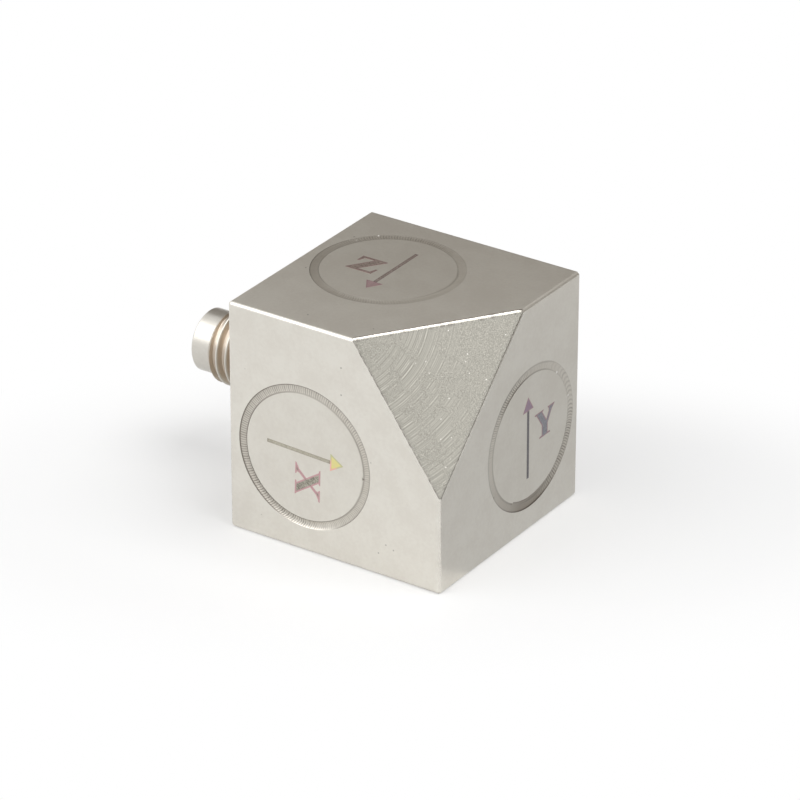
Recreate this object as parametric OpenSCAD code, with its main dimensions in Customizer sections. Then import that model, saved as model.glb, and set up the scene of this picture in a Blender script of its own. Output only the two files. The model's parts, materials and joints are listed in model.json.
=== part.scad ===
// Triaxial vibration sensor: a steel cube with one corner cut away. Three welded caps close
// three bores, each with a planar-shear sensing element, and a threaded four-pin connector
// carries the signals out.
// Millimetres. +Z is up, +X is the right face, -Y is the front face, and the origin is the
// centre of the bottom face.

/* [Block] */
// Side of the cubic block
block_side = 20; // [19.6:0.1:22]
// Radius that breaks the block's edges
edge_r = 0.3; // [0.2:0.05:0.5]
// Depth of the small flats that break the block's corners
corner_break = 0.1; // [0.05:0.01:0.12]
// Depth of the cut corner, measured square to the cut face
cut_depth = 5.84; // [4:0.02:6]
// Tilt of the cut face towards the right face, and again towards the front face
cut_tilt = 45; // [40:1:50]
// Width of the flats that break the edges of the cut face
cut_break = 0.2; // [0.1:0.05:0.4]

/* [Caps and weld seams] */
// Radius of a cap, and of the seat that it closes
cap_r = 5.86; // [5.7:0.01:6]
// Thickness of a cap
cap_t = 1; // [0.8:0.1:1.2]
// Centre of the X cap on the front face, from the face's centre: right, up
x_cap_at = [-2.8, -1.65]; // [-3:0.05:-1.6]
// Centre of the Y cap on the right face, from the face's centre: back, up
y_cap_at = [2.95, -1.7]; // [-1.9:0.05:3.1]
// Centre of the Z cap on the top face, from the face's centre: right, back
z_cap_at = [-2.8, 1.75]; // [-3:0.05:1.9]
// Width of a weld seam at the face
seam_w = 0.76; // [0.6:0.02:0.9]
// Width of a weld seam at its root
seam_root_w = 0.36; // [0.2:0.02:0.5]
// Depth of a weld seam
seam_depth = 0.5; // [0.4:0.05:0.6]
// How far the middle of a weld seam lies below the face
seam_dish = 0.1; // [0.04:0.02:0.14]

/* [Sensing elements] */
// Radius of the bore that holds a sensing element
bore_r = 5.2; // [4.9:0.05:5.2]
// Depth of that bore below the face
bore_depth = 5.8; // [5.6:0.1:5.9]
// Radius of a post's flange
flange_r = 3; // [2.6:0.1:3.1]
// Thickness of a post's flange
flange_t = 0.6; // [0.5:0.1:0.8]
// Length, thickness and height of the blade that stands on the flange
blade = [4.4, 1.2, 3.6]; // [1:0.1:4.6]
// Length, thickness and height of a piezoelectric plate
plate = [3.6, 0.6, 2.8]; // [0.5:0.1:3.8]
// Gap between a plate and the flange below it
plate_gap = 0.4; // [0.3:0.05:0.5]
// Outer radius of the seismic masses, where the preload ring grips them
mass_r = 3.6; // [3.5:0.05:3.7]
// Wall of the preload ring
ring_wall = 0.6; // [0.5:0.05:0.65]
// Height of the preload ring
ring_h = 2.4; // [2:0.1:2.8]

/* [Connector] */
// Major radius of the connector's 1/4-28 thread
thread_r = 3.175; // [3.1:0.005:3.2]
// Length of the connector beyond the left face
connector_l = 9.12; // [8:0.02:10]
// Radius of the plain pilot at the connector's end
pilot_r = 2.635; // [2.6:0.005:2.7]
// Length of the pilot
pilot_l = 1.75; // [1.5:0.05:2]
// Radius of the relief between the thread and the block
relief_r = 2.72; // [2.65:0.01:2.9]
// Length of the relief
relief_l = 0.9; // [0.6:0.05:1.2]
// Radius of the socket that the plug enters
socket_r = 2.2; // [2.1:0.02:2.24]
// Depth of the socket, from the end to the glass seal
socket_depth = 6.1; // [5:0.1:6.5]
// Thickness of the glass seal
glass_t = 1.8; // [1.4:0.1:2]
// Radius of the connector's tail inside the block
tail_r = 3.3; // [3.25:0.01:3.35]
// Length of that tail
tail_l = 4; // [3.5:0.1:4.2]
// Radius of a contact pin
pin_r = 0.25; // [0.2:0.01:0.3]
// Radius of the circle that the contact pins stand on
pin_circle_r = 1.15; // [1:0.05:1.2]
// How far the pins' tips lie inside the socket's mouth
pin_recess = 2.6; // [2:0.1:3]

/* [Amplifier and leads] */
// Radius of the cavity that holds the amplifier board
cavity_r = 2.6; // [2.55:0.05:2.7]
// Length of that cavity beyond the connector's tail
cavity_l = 9; // [8.5:0.1:9.2]
// Radius of the round amplifier board
board_r = 2.4; // [2.2:0.05:2.45]
// Thickness of the board
board_t = 0.6; // [0.4:0.1:0.8]
// Gap between the connector's tail and the board
board_gap = 1.6; // [1.2:0.1:2]
// Height, width and length of an amplifier chip, the height standing off the board
chip = [0.5, 1, 1]; // [0.4:0.1:1]
// Distance of the chips from the board's middle
chip_off = 1.6; // [1.58:0.01:1.62]
// Radius of a signal lead
lead_r = 0.2; // [0.15:0.01:0.25]
// Radius of the ducts that take the leads into the bores
duct_r = 0.6; // [0.5:0.05:0.65]

/* [Mounting hole] */
// Tap drill radius of the M5 hole in the back face
tap_r = 2.1; // [2.05:0.01:2.15]
// Depth of the tapped hole
tap_depth = 5; // [4.5:0.1:5.2]
// Depth of the hole's countersink
countersink = 0.5; // [0.4:0.05:0.7]
// Point angle of the drill
drill_point = 118; // [116:1:120]

/* [Hidden] */
$fn = 96;
// Overlap of a cutter past the face that it opens
over = 0.1;
half = block_side / 2;
steel = "#cfc9c0";
seam_grey = "#a9a299";
glass_green = "#3d5750";
gold = "#c9a24a";
board_green = "#2f5d43";
chip_black = "#2b2b2d";
lead_white = "#d9d6cc";
piezo_cream = "#e4dcc4";
mass_grey = "#7d7f83";
ring_grey = "#93959a";
AXES = ["x", "y", "z"];
SIDES = [1, 2];
PINS = [1, 2, 3, 4];

// The cut face: its outward normal, and where it meets the three edges of the lost corner.
cut_normal = [sin(cut_tilt), -cos(cut_tilt) * sin(cut_tilt), cos(cut_tilt) * cos(cut_tilt)];
lost_corner = [half, -half, block_side];
cut_on_x = lost_corner - [cut_depth / cut_normal.x, 0, 0];
cut_on_y = lost_corner - [0, cut_depth / cut_normal.y, 0];
cut_on_z = lost_corner - [0, 0, cut_depth / cut_normal.z];
// Each edge of the cut face: a point on it, and the outward normal of its other face.
cut_edges = [[cut_on_x, [0, -1, 0]], [cut_on_y, [0, 0, 1]], [cut_on_z, [1, 0, 0]]];

// Each cap's frame: its centre on the face, then the turn that points its own +Z out of the
// face and its own +X along the direction that its element senses.
cap_at = [
    [x_cap_at.x, -half, half + x_cap_at.y],
    [half, y_cap_at.x, half + y_cap_at.y],
    [z_cap_at.x, z_cap_at.y, block_side]
];
cap_turn = [[90, 0, 0], [180, -90, 0], [0, 0, -90]];

// Heights above a bore's floor.
plate_base = flange_t + plate_gap;
ring_base = plate_base + (plate.z - ring_h) / 2;
ring_r = mass_r + ring_wall;
// Distance of a plate's outer face from the blade's middle plane.
plate_out = blade.y / 2 + plate.y;

// The connector's frame has its origin at the left face's centre and its +Z out of that face.
glass_out = connector_l - socket_depth;
glass_in = glass_out - glass_t;
thread_end = connector_l - pilot_l;
glass_step = 0.3;
glass_seat_r = socket_r - glass_step;
thread_chamfer = thread_r - relief_r;
end_chamfer = 0.15;
key_w = 0.7;
key_h = 0.35;
key_l = 3.4;
board_out = -tail_l - board_gap;
board_in = board_out - board_t;
pin_tail = 0.2;
// Where each axis's chip and lead stand on the board: across, up.
chip_at = [[chip_off, 0], [0, -chip_off], [0, chip_off]];

// The leads meet the preload rings from below, at the middle of the ring's wall.
lead_out = mass_r + ring_wall / 2;
lead_reach = half - bore_depth + ring_base;
x_duct = x_cap_at.x + sqrt(lead_out ^ 2 - x_cap_at.y ^ 2);
y_duct = y_cap_at.x - sqrt(lead_out ^ 2 - y_cap_at.y ^ 2);
z_duct = z_cap_at.x + sqrt(lead_out ^ 2 - z_cap_at.y ^ 2);
x_lead_off = 1.2;
z_lead_off = 0.6;

// Placing

// Puts its children in the frame of one cap: 0 is X, 1 is Y, 2 is Z.
module on_cap(a) translate(cap_at[a]) rotate(cap_turn[a]) children();

// Puts its children in the frame of one bore's floor.
module on_floor(a) on_cap(a) translate([0, 0, -bore_depth]) children();

// Puts its children in the connector's frame: +Z out of the left face, +X up, +Y to the back.
module on_connector() translate([-half, 0, half]) rotate([0, -90, 0]) children();

// Shared shapes

// All of the space on the side of a plane that its normal points to.
module beyond(point, normal)
    translate(point)
        rotate([0, acos(normal.z / norm(normal)), atan2(normal.y, normal.x)])
            translate([-block_side, -block_side, 0])
                cube([2 * block_side, 2 * block_side, block_side]);

// A straight prism with round corners, as long as the block and centred on it.
module round_prism()
    linear_extrude(block_side, center = true) {
        square([block_side - 2 * edge_r, block_side], center = true);
        square([block_side, block_side - 2 * edge_r], center = true);
        for (x = [-1, 1], y = [-1, 1])
            translate([x, y] * (half - edge_r)) circle(edge_r);
    }

// A ring of weld metal that fills the groove round a joint of radius r, dished at the face.
module weld_seam(r) {
    dish_r = (seam_w ^ 2 / 4 + seam_dish ^ 2) / (2 * seam_dish);
    rotate_extrude()
        translate([r, 0])
            difference() {
                polygon([
                    [-seam_w / 2, 0],
                    [-seam_root_w / 2, -seam_depth],
                    [seam_root_w / 2, -seam_depth],
                    [seam_w / 2, 0]
                ]);
                translate([0, dish_r - seam_dish]) circle(dish_r);
            }
}

// The cutter for a stepped bore: a seat of radius r and depth d, with the seam's outer groove.
module seat(r, d) {
    translate([0, 0, -d]) cylinder(h = d + over, r = r);
    translate([0, 0, -seam_depth])
        cylinder(h = seam_depth, r1 = r + seam_root_w / 2, r2 = r + seam_w / 2);
}

// Housing

// The block with round edges, blunt corners and one corner cut away.
module block() {
    difference() {
        translate([0, 0, half])
            intersection() {
                round_prism();
                rotate([90, 0, 0]) round_prism();
                rotate([0, 90, 0]) round_prism();
            }
        beyond(lost_corner - cut_depth * cut_normal, cut_normal);
        for (e = cut_edges) {
            middle = (cut_normal + e[1]) / norm(cut_normal + e[1]);
            // Half the flat's width over the tangent of half the edge's inside angle.
            drop = cut_break / 2 * tan(acos(cut_normal * e[1]) / 2);
            beyond(e[0] - drop * middle, middle);
        }
        for (x = [-1, 1], y = [-1, 1], z = [-1, 1]) {
            way = [x, y, z];
            // The point where the three round edges of a corner meet.
            tip = [0, 0, half] + way * (half - edge_r + edge_r / sqrt(2));
            beyond(tip - corner_break * way / norm(way), way);
        }
    }
}

// The bores, ducts and mounting hole that are machined into the block.
module machining() {
    for (a = [0 : 2])
        on_cap(a) {
            seat(cap_r, cap_t);
            translate([0, 0, -bore_depth]) cylinder(h = bore_depth, r = bore_r);
        }
    on_connector() {
        seat(tail_r, tail_l);
        translate([0, 0, -tail_l - cavity_l]) cylinder(h = tail_l + cavity_l, r = cavity_r);
    }
    duct_l = half - bore_depth + over;
    translate([x_duct, 0, half]) rotate([90, 0, 0]) cylinder(h = duct_l, r = duct_r);
    translate([0, y_duct, half]) rotate([0, 90, 0]) cylinder(h = duct_l, r = duct_r);
    translate([z_duct, 0, half]) cylinder(h = duct_l, r = duct_r);
    translate([0, half, half]) rotate([-90, 0, 0]) mounting_hole();
}

// A blind tap drill hole with its drill point and countersink, opening at +Z.
module mounting_hole() {
    point_l = tap_r / tan(drill_point / 2);
    translate([0, 0, -tap_depth]) cylinder(h = tap_depth + over, r = tap_r);
    translate([0, 0, -tap_depth - point_l]) cylinder(h = point_l, r1 = 0, r2 = tap_r);
    translate([0, 0, -countersink])
        cylinder(h = countersink + over, r1 = tap_r, r2 = tap_r + countersink + over);
}

module housing() {
    color(steel)
        difference() {
            block();
            machining();
        }
}

// Caps

// A disc with its top edge bevelled for the weld.
module cap(a) {
    color(steel)
        on_cap(a)
            rotate_extrude()
                polygon([
                    [0, 0],
                    [cap_r - seam_w / 2, 0],
                    [cap_r - seam_root_w / 2, -seam_depth],
                    [cap_r, -seam_depth],
                    [cap_r, -cap_t],
                    [0, -cap_t]
                ]);
}

module cap_weld_seam(a) {
    color(seam_grey) on_cap(a) weld_seam(cap_r);
}

// Connector

// Turned shell: tail in the block, relief, thread at its major radius, pilot and keyed socket.
module connector_shell() {
    color(steel)
        on_connector() {
            rotate_extrude()
                polygon([
                    [glass_seat_r, -tail_l],
                    [tail_r, -tail_l],
                    [tail_r, -seam_depth],
                    [tail_r - seam_root_w / 2, -seam_depth],
                    [tail_r - seam_w / 2, 0],
                    [relief_r, 0],
                    [relief_r, relief_l],
                    [thread_r, relief_l + thread_chamfer],
                    [thread_r, thread_end - thread_chamfer],
                    [pilot_r, thread_end],
                    [pilot_r, connector_l - end_chamfer],
                    [pilot_r - end_chamfer, connector_l],
                    [socket_r + end_chamfer, connector_l],
                    [socket_r, connector_l - end_chamfer],
                    [socket_r, glass_in],
                    [glass_seat_r, glass_in]
                ]);
            translate([socket_r - key_h, -key_w / 2, glass_out])
                cube([key_h + end_chamfer, key_w, key_l]);
        }
}

module connector_weld_seam() {
    color(seam_grey) on_connector() weld_seam(tail_r);
}

// Puts its children where one contact pin stands.
module at_pin(p)
    rotate([0, 0, 45 + 90 * (p - 1)]) translate([pin_circle_r, 0, 0]) children();

module glass_seal() {
    color(glass_green)
        on_connector()
            difference() {
                translate([0, 0, glass_in]) cylinder(h = glass_t, r = socket_r);
                for (p = PINS)
                    at_pin(p)
                        translate([0, 0, glass_in - over]) cylinder(h = glass_t + 2 * over, r = pin_r);
            }
}

// A round pin from the socket through the seal and the board, with a bevelled tip.
module contact_pin(p) {
    tip = connector_l - pin_recess;
    color(gold)
        on_connector()
            at_pin(p)
                rotate_extrude()
                    polygon([
                        [0, board_in - pin_tail],
                        [pin_r, board_in - pin_tail],
                        [pin_r, tip - pin_r],
                        [pin_r / 2, tip],
                        [0, tip]
                    ]);
}

// Amplifier

module amplifier_board() {
    color(board_green)
        on_connector()
            difference() {
                translate([0, 0, board_in]) cylinder(h = board_t, r = board_r);
                for (p = PINS)
                    at_pin(p)
                        translate([0, 0, board_in - over]) cylinder(h = board_t + 2 * over, r = pin_r);
            }
}

module amplifier_chip(a) {
    color(chip_black)
        translate([-half - board_in, chip_at[a].x - chip.y / 2, half + chip_at[a].y - chip.z / 2])
            cube(chip);
}

// A lead that leaves the board along +X, off millimetres above the cavity's middle line, and
// turns up into the duct at x = duct.
module bent_lead(off, duct) {
    start = -half - board_in;
    translate([start, 0, off]) rotate([0, 90, 0]) cylinder(h = duct - start, r = lead_r);
    translate([duct, 0, off]) sphere(lead_r);
    translate([duct, 0, off]) cylinder(h = lead_reach - off, r = lead_r);
}

module straight_lead() {
    start = -half - board_in;
    translate([start, y_duct, 0]) rotate([0, 90, 0]) cylinder(h = lead_reach - start, r = lead_r);
}

module lead(a) {
    color(lead_white)
        translate([0, 0, half]) {
            if (AXES[a] == "x") rotate([90, 0, 0]) bent_lead(x_lead_off, x_duct);
            if (AXES[a] == "y") straight_lead();
            if (AXES[a] == "z") bent_lead(z_lead_off, z_duct);
        }
}

// Sensing elements

// A flange on the bore's floor with an upright blade that carries the plates.
module post(a) {
    color(steel)
        on_floor(a) {
            cylinder(h = flange_t, r = flange_r);
            translate([-blade.x / 2, -blade.y / 2, 0]) cube([blade.x, blade.y, flange_t + blade.z]);
        }
}

// Turns its children to the first or the second side of the blade.
module on_side(s) rotate([0, 0, 180 * (s - 1)]) children();

module piezo_plate(a, s) {
    color(piezo_cream)
        on_floor(a)
            on_side(s)
                translate([-plate.x / 2, blade.y / 2, plate_base]) cube(plate);
}

// The segment of a cylinder that lies outside a plate.
module seismic_mass(a, s) {
    color(mass_grey)
        on_floor(a)
            on_side(s)
                translate([0, 0, plate_base])
                    intersection() {
                        cylinder(h = plate.z, r = mass_r);
                        translate([-mass_r, plate_out, 0]) cube([2 * mass_r, mass_r, plate.z]);
                    }
}

module preload_ring(a) {
    color(ring_grey)
        on_floor(a)
            rotate_extrude()
                translate([mass_r, ring_base]) square([ring_wall, ring_h]);
}

// Drawing

housing();
connector_shell();
connector_weld_seam();
glass_seal();
amplifier_board();
for (p = PINS)
    contact_pin(p);
for (a = [0 : 2]) {
    cap(a);
    cap_weld_seam(a);
    amplifier_chip(a);
    lead(a);
    post(a);
    preload_ring(a);
    for (s = SIDES) {
        piezo_plate(a, s);
        seismic_mass(a, s);
    }
}
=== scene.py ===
"""Looks of a triaxial vibration sensor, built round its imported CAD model.

The block, the caps and the inner pieces are the CAD nodes, with procedural finishes. The weld seams,
the threaded connector shell, the thread of the mounting hole and the axis marks are new surfaces, each
worked out as whole arrays over two parameters. Names that end in _mm hold millimetres; the meshes are
in metres, and MM turns one into the other.
"""

from __future__ import annotations

import json
import logging
import math
from dataclasses import dataclass, fields
from enum import Enum
from functools import lru_cache, partial, reduce
from typing import Any, Union

import bmesh
import bpy
import numpy as np
from mathutils import Matrix, Vector

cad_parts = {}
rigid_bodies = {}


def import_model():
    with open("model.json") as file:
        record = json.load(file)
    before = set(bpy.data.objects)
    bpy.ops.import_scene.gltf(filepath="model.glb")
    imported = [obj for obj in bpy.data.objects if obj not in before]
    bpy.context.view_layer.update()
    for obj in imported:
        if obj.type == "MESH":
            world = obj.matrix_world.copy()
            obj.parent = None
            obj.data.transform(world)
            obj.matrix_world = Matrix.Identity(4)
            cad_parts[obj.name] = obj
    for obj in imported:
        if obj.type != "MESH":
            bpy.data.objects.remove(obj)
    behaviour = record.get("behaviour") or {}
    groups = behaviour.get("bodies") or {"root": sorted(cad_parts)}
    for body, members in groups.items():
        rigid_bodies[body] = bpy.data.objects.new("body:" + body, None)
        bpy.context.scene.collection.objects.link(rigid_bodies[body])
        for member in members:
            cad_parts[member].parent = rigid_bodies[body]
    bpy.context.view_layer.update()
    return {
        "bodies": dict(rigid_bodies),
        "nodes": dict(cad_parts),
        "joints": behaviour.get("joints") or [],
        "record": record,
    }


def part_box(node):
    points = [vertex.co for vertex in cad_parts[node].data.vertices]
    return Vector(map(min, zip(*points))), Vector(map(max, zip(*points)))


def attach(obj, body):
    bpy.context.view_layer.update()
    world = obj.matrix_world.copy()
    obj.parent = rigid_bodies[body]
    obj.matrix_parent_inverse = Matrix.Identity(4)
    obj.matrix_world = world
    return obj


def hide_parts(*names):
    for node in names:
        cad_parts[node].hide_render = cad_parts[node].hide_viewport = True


log = logging.getLogger("vibration_sensor")

MM = 0.001
TURN = 2 * np.pi
BODY = "root"

Array = np.ndarray
Colour = tuple[float, float, float]
Point = tuple[float, float, float]
Pair = tuple[float, float]
Socket = bpy.types.NodeSocket
Value = Union[Socket, float, tuple]
Faces = list[list[int]]

# Half the block's side and its centre, and the widths of a weld seam at the face and at its root.
HALF_MM = 10.0
CENTRE_MM: Point = (0.0, 0.0, HALF_MM)
SEAM_MM = 0.76
SEAM_ROOT_MM = 0.36


# Meshes


@dataclass(frozen=True)
class Seat:
    """A frame on the block, with its origin in metres and its z axis pointing out of the metal."""

    origin: Array
    x: Array
    z: Array

    @classmethod
    def on_face(cls, out: Point, along: Point) -> Seat:
        """The frame at the middle of the block's face whose way out is given, with x along a second way."""
        z = np.array(out, float)
        return cls(MM * (np.array(CENTRE_MM) + HALF_MM * z), np.array(along, float), z)

    def place(self, points_mm: Array) -> Array:
        """Positions in metres of local points in millimetres: origin + x·X + y·(Z × X) + z·Z."""
        axes = np.stack([self.x, np.cross(self.z, self.x), self.z])
        return self.origin + MM * points_mm @ axes


def loft(stations: Array, round_trip: bool) -> tuple[Array, Faces]:
    """Skins a closed profile that is carried along a path.

    Each quad joins two neighbouring points of the profile at two neighbouring stations of the path.

    Args:
        stations: Points of shape (stations, profile points, 3).
        round_trip: True if the path comes back to its first station; otherwise both ends get a flat face.

    Returns:
        The vertices, and the faces as lists of vertex numbers.
    """
    index = np.arange(stations.shape[0] * stations.shape[1]).reshape(stations.shape[:2])
    here = index if round_trip else index[:-1]
    there = np.roll(index, -1, axis=0) if round_trip else index[1:]
    quads = np.stack([here, np.roll(here, -1, axis=1), np.roll(there, -1, axis=1), there], axis=-1)
    faces = quads.reshape(-1, 4).tolist()
    if not round_trip:
        faces += [index[0].tolist(), index[-1].tolist()]
    return stations.reshape(-1, 3), faces


def revolve(radius_mm: Array, height_mm: Array, angle: Array) -> Array:
    """Points of a turned surface: (radius·cos angle, radius·sin angle, height).

    Args:
        radius_mm: Radii that broadcast to (angles, profile points).
        height_mm: Heights that broadcast to that shape.
        angle: The angles of the stations, in radians.

    Returns:
        Local points of shape (angles, profile points, 3).
    """
    turn = angle[:, None]
    parts = [radius_mm * np.cos(turn), radius_mm * np.sin(turn), height_mm]
    return np.stack(np.broadcast_arrays(*parts), axis=-1)


def thread_depth(turns: Array, crest: float = 0.125, root: float = 0.25, soft: float = 0.25) -> Array:
    """Depth of a screw thread below its crest, from 0 on the crest to 1 at the root.

    Along one pitch there is a flat crest, a straight flank, a flat root and a straight flank. A
    parabola rounds each corner between them.

    Args:
        turns: Position along the axis less the part of a turn, both counted in pitches.
        crest: Width of the crest as a part of the pitch.
        root: Width of the root as a part of the pitch.
        soft: Half the width of a rounded corner, as a part of the flank's width.

    Returns:
        The depth at each position.
    """
    from_crest = 0.5 - np.abs((turns % 1) - 0.5)
    flank = (from_crest - crest / 2) / (0.5 - root / 2 - crest / 2)

    def past(x: Array) -> Array:
        """How far x is past zero, with a rounded start."""
        return np.where(np.abs(x) < soft, (x + soft) ** 2 / (4 * soft), np.maximum(x, 0))

    return past(flank) - past(flank - 1)


def add_object(name: str, data: bpy.types.ID) -> bpy.types.Object:
    """Puts a new object into the scene, at the origin.

    Args:
        name: The object's name.
        data: Its mesh, camera or light.

    Returns:
        The new object.
    """
    thing = bpy.data.objects.new(name, data)
    bpy.context.scene.collection.objects.link(thing)
    return thing


@dataclass
class Piece:
    """A new mesh of the sensor, with its finish and what it stands for."""

    name: str
    finish: Finish
    slot: str | None = None
    replaces: str | None = None
    sharp_deg: float = 35.0

    def build(self, points: Array, faces: Faces, attributes: dict[str, Array]) -> None:
        """Makes the object, dresses it and hangs it on the sensor's body.

        Args:
            points: Vertices in the row frame, in metres.
            faces: Vertex numbers of each face.
            attributes: A number for each vertex, by name, that the finish reads.
        """
        mesh = bpy.data.meshes.new(self.name)
        mesh.from_pydata(points, [], faces)
        shell = bmesh.new()
        shell.from_mesh(mesh)
        bmesh.ops.recalc_face_normals(shell, faces=shell.faces)
        shell.to_mesh(mesh)
        shell.free()
        for name, numbers in attributes.items():
            layer = mesh.attributes.new(name, "FLOAT", "POINT")
            layer.data.foreach_set("value", numbers.astype(np.float32).ravel())
        mesh.shade_smooth()
        mesh.set_sharp_from_angle(angle=math.radians(self.sharp_deg))
        mesh.materials.append(material_of(self.finish))
        piece = add_object(self.name, mesh)
        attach(piece, BODY)
        if self.replaces:
            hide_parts(self.replaces)
        log.info("%s: %d faces, %s", self.name, len(faces), self.finish.name)


# Shader graphs


@dataclass(frozen=True)
class Graph:
    """Adds nodes to a node tree and wires them up."""

    tree: bpy.types.NodeTree

    @classmethod
    def of(cls, owner: bpy.types.Material | bpy.types.World) -> Graph:
        """Clears the nodes of a new material or world.

        Args:
            owner: The material or world.

        Returns:
            Its empty graph.
        """
        owner.use_nodes = True
        owner.node_tree.nodes.clear()
        return cls(owner.node_tree)

    def add(
        self, kind: str, inputs: dict[str | int, Value] | None = None, **settings: Any
    ) -> bpy.types.Node:
        """Adds one node.

        Args:
            kind: The node's type, without the leading ShaderNode.
            inputs: Values or sockets for its inputs, by name or number.
            settings: Properties to set on the node first.

        Returns:
            The new node.
        """
        node = self.tree.nodes.new("ShaderNode" + kind)
        for name, setting in settings.items():
            setattr(node, name, setting)
        for key, value in (inputs or {}).items():
            self.wire(value, node.inputs[key])
        return node

    def wire(self, value: Value, target: Socket) -> None:
        """Links a socket to the target, or sets the target to a plain value.

        Args:
            value: A socket, number, vector or colour.
            target: The input that takes it.
        """
        if isinstance(value, bpy.types.NodeSocket):
            self.tree.links.new(value, target)
        elif target.type == "RGBA":
            target.default_value = (*value[:3], 1.0)
        else:
            target.default_value = value

    def math(self, operation: str, *values: Value) -> Socket:
        """The result of a Math node on one or two values."""
        return self.add("Math", dict(enumerate(values)), operation=operation).outputs[0]

    def chain(self, operation: str, *values: Value) -> Socket:
        """The result of a Math operation on two values, then on that and the next one, and so on."""
        return reduce(partial(self.math, operation), values)

    def vector(self, operation: str, *values: Value) -> bpy.types.Node:
        """A Vector Math node on one or two vectors."""
        return self.add("VectorMath", dict(enumerate(values)), operation=operation)

    def ramp(self, value: Value, ends: Pair, unit: float = 1.0) -> Socket:
        """A smooth step from 0 at the first end to 1 at the second; the ends are counted in the unit."""
        inputs = {"Value": value, "From Min": ends[0] * unit, "From Max": ends[1] * unit}
        return self.add("MapRange", inputs, interpolation_type="SMOOTHSTEP").outputs["Result"]

    def between(self, value: Value, low: Value, high: Value) -> Socket:
        """A number that goes from low to high as value goes from 0 to 1."""
        return self.add("MapRange", {"Value": value, "To Min": low, "To Max": high}).outputs["Result"]

    def mix(self, factor: Value, first: Value, second: Value) -> Socket:
        """The first colour at factor 0 and the second at factor 1."""
        # A Mix node keeps its colours in the inputs 6 and 7 and in the output 2.
        node = self.add("Mix", {0: factor, 6: first, 7: second}, data_type="RGBA")
        return node.outputs[2]

    def noise(self, vector: Value, size_mm: Value, detail: float) -> Socket:
        """Noise from 0 to 1 whose blotches are about size_mm across."""
        scale = self.math("DIVIDE", 1 / MM, size_mm)
        return self.add("TexNoise", {"Vector": vector, "Scale": scale, "Detail": detail}).outputs[0]

    def stripes(self, along: Value, pitch_mm: float, detail: float) -> Socket:
        """Uneven stripes from 0 to 1: noise along one coordinate, which is in metres."""
        inputs = {"W": along, "Scale": self.math("DIVIDE", 1 / MM, pitch_mm), "Detail": detail}
        return self.add("TexNoise", inputs, noise_dimensions="1D").outputs[0]

    def attribute(self, name: str) -> Socket:
        """The number that the piece's mesh holds under a name."""
        return self.add("Attribute", attribute_name=name).outputs["Fac"]

    def group(self, tree: bpy.types.NodeTree, inputs: dict[str, Value]) -> Any:
        """The outputs of a node group that is placed with its own values."""
        return self.add("Group", inputs, node_tree=tree).outputs


def new_group(name: str, inputs: dict[str, str], outputs: dict[str, str]) -> tuple[Graph, Any, Any]:
    """Makes an empty shader node group.

    Args:
        name: The group's name.
        inputs: The kind of each input socket, such as Float, by its name.
        outputs: The kind of each output socket, by its name.

    Returns:
        The group's graph, the sockets that bring its inputs in, and the sockets that take its outputs.
    """
    tree = bpy.data.node_groups.new(name, "ShaderNodeTree")
    for side, sockets in (("INPUT", inputs), ("OUTPUT", outputs)):
        for socket, kind in sockets.items():
            tree.interface.new_socket(socket, in_out=side, socket_type="NodeSocket" + kind)
    given = tree.nodes.new("NodeGroupInput").outputs
    wanted = tree.nodes.new("NodeGroupOutput").inputs
    return Graph(tree), given, wanted


@lru_cache(maxsize=None)
def mottle_group() -> bpy.types.NodeTree:
    """Slow blotches between two colours, and blotches of a ninth of their size over them.

    Returns:
        The group, which puts out a colour.
    """
    finer = 9.0
    slow_share = 0.6
    levels = (0.35, 0.65)
    sockets = {"Vector": "Vector", "Size": "Float", "Light": "Color", "Dark": "Color"}
    graph, given, wanted = new_group("Mottling", sockets, {"Colour": "Color"})
    slow = graph.noise(given["Vector"], given["Size"], detail=3.0)
    fine = graph.noise(given["Vector"], graph.math("DIVIDE", given["Size"], finer), detail=3.0)
    slow = graph.math("MULTIPLY", slow, slow_share)
    fine = graph.math("MULTIPLY", fine, 1 - slow_share)
    both = graph.ramp(graph.math("ADD", slow, fine), levels)
    graph.wire(graph.mix(both, given["Light"], given["Dark"]), wanted["Colour"])
    return graph.tree


@lru_cache(maxsize=None)
def grain_group() -> bpy.types.NodeTree:
    """Fine grain, and patches of six times its size that are smoother or rougher.

    Returns:
        The group, which puts out a height from 0 to 1 and a roughness.
    """
    patch_times = 6.0
    sockets = {"Vector": "Vector", "Size": "Float", "Smooth": "Float", "Rough": "Float"}
    graph, given, wanted = new_group("Grain", sockets, {"Height": "Float", "Roughness": "Float"})
    graph.wire(graph.noise(given["Vector"], given["Size"], detail=2.0), wanted["Height"])
    patches = graph.noise(given["Vector"], graph.math("MULTIPLY", given["Size"], patch_times), detail=3.0)
    graph.wire(graph.between(patches, given["Smooth"], given["Rough"]), wanted["Roughness"])
    return graph.tree


@lru_cache(maxsize=None)
def specks_group() -> bpy.types.NodeTree:
    """Small round specks in a share of the cells of a grid.

    Returns:
        The group, which puts out a mask that is 1 inside a speck.
    """
    rim = (0.14, 0.07)
    sockets = {"Vector": "Vector", "Cell": "Float", "Share": "Float"}
    graph, given, wanted = new_group("Specks", sockets, {"Mask": "Float"})
    cell = {"Vector": given["Vector"], "Scale": graph.math("DIVIDE", 1 / MM, given["Cell"])}
    cells = graph.add("TexVoronoi", cell).outputs
    chance = graph.add("SeparateColor", {0: cells["Color"]}).outputs["Red"]
    chosen = graph.math("LESS_THAN", chance, given["Share"])
    inside = graph.ramp(cells["Distance"], rim)
    graph.wire(graph.math("MULTIPLY", chosen, inside), wanted["Mask"])
    return graph.tree


# Finishes


@dataclass(frozen=True)
class Surface:
    """The sockets that drive a shader: colour, roughness, and height in millimetres."""

    colour: Socket
    roughness: Socket
    height_mm: Socket


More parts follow.
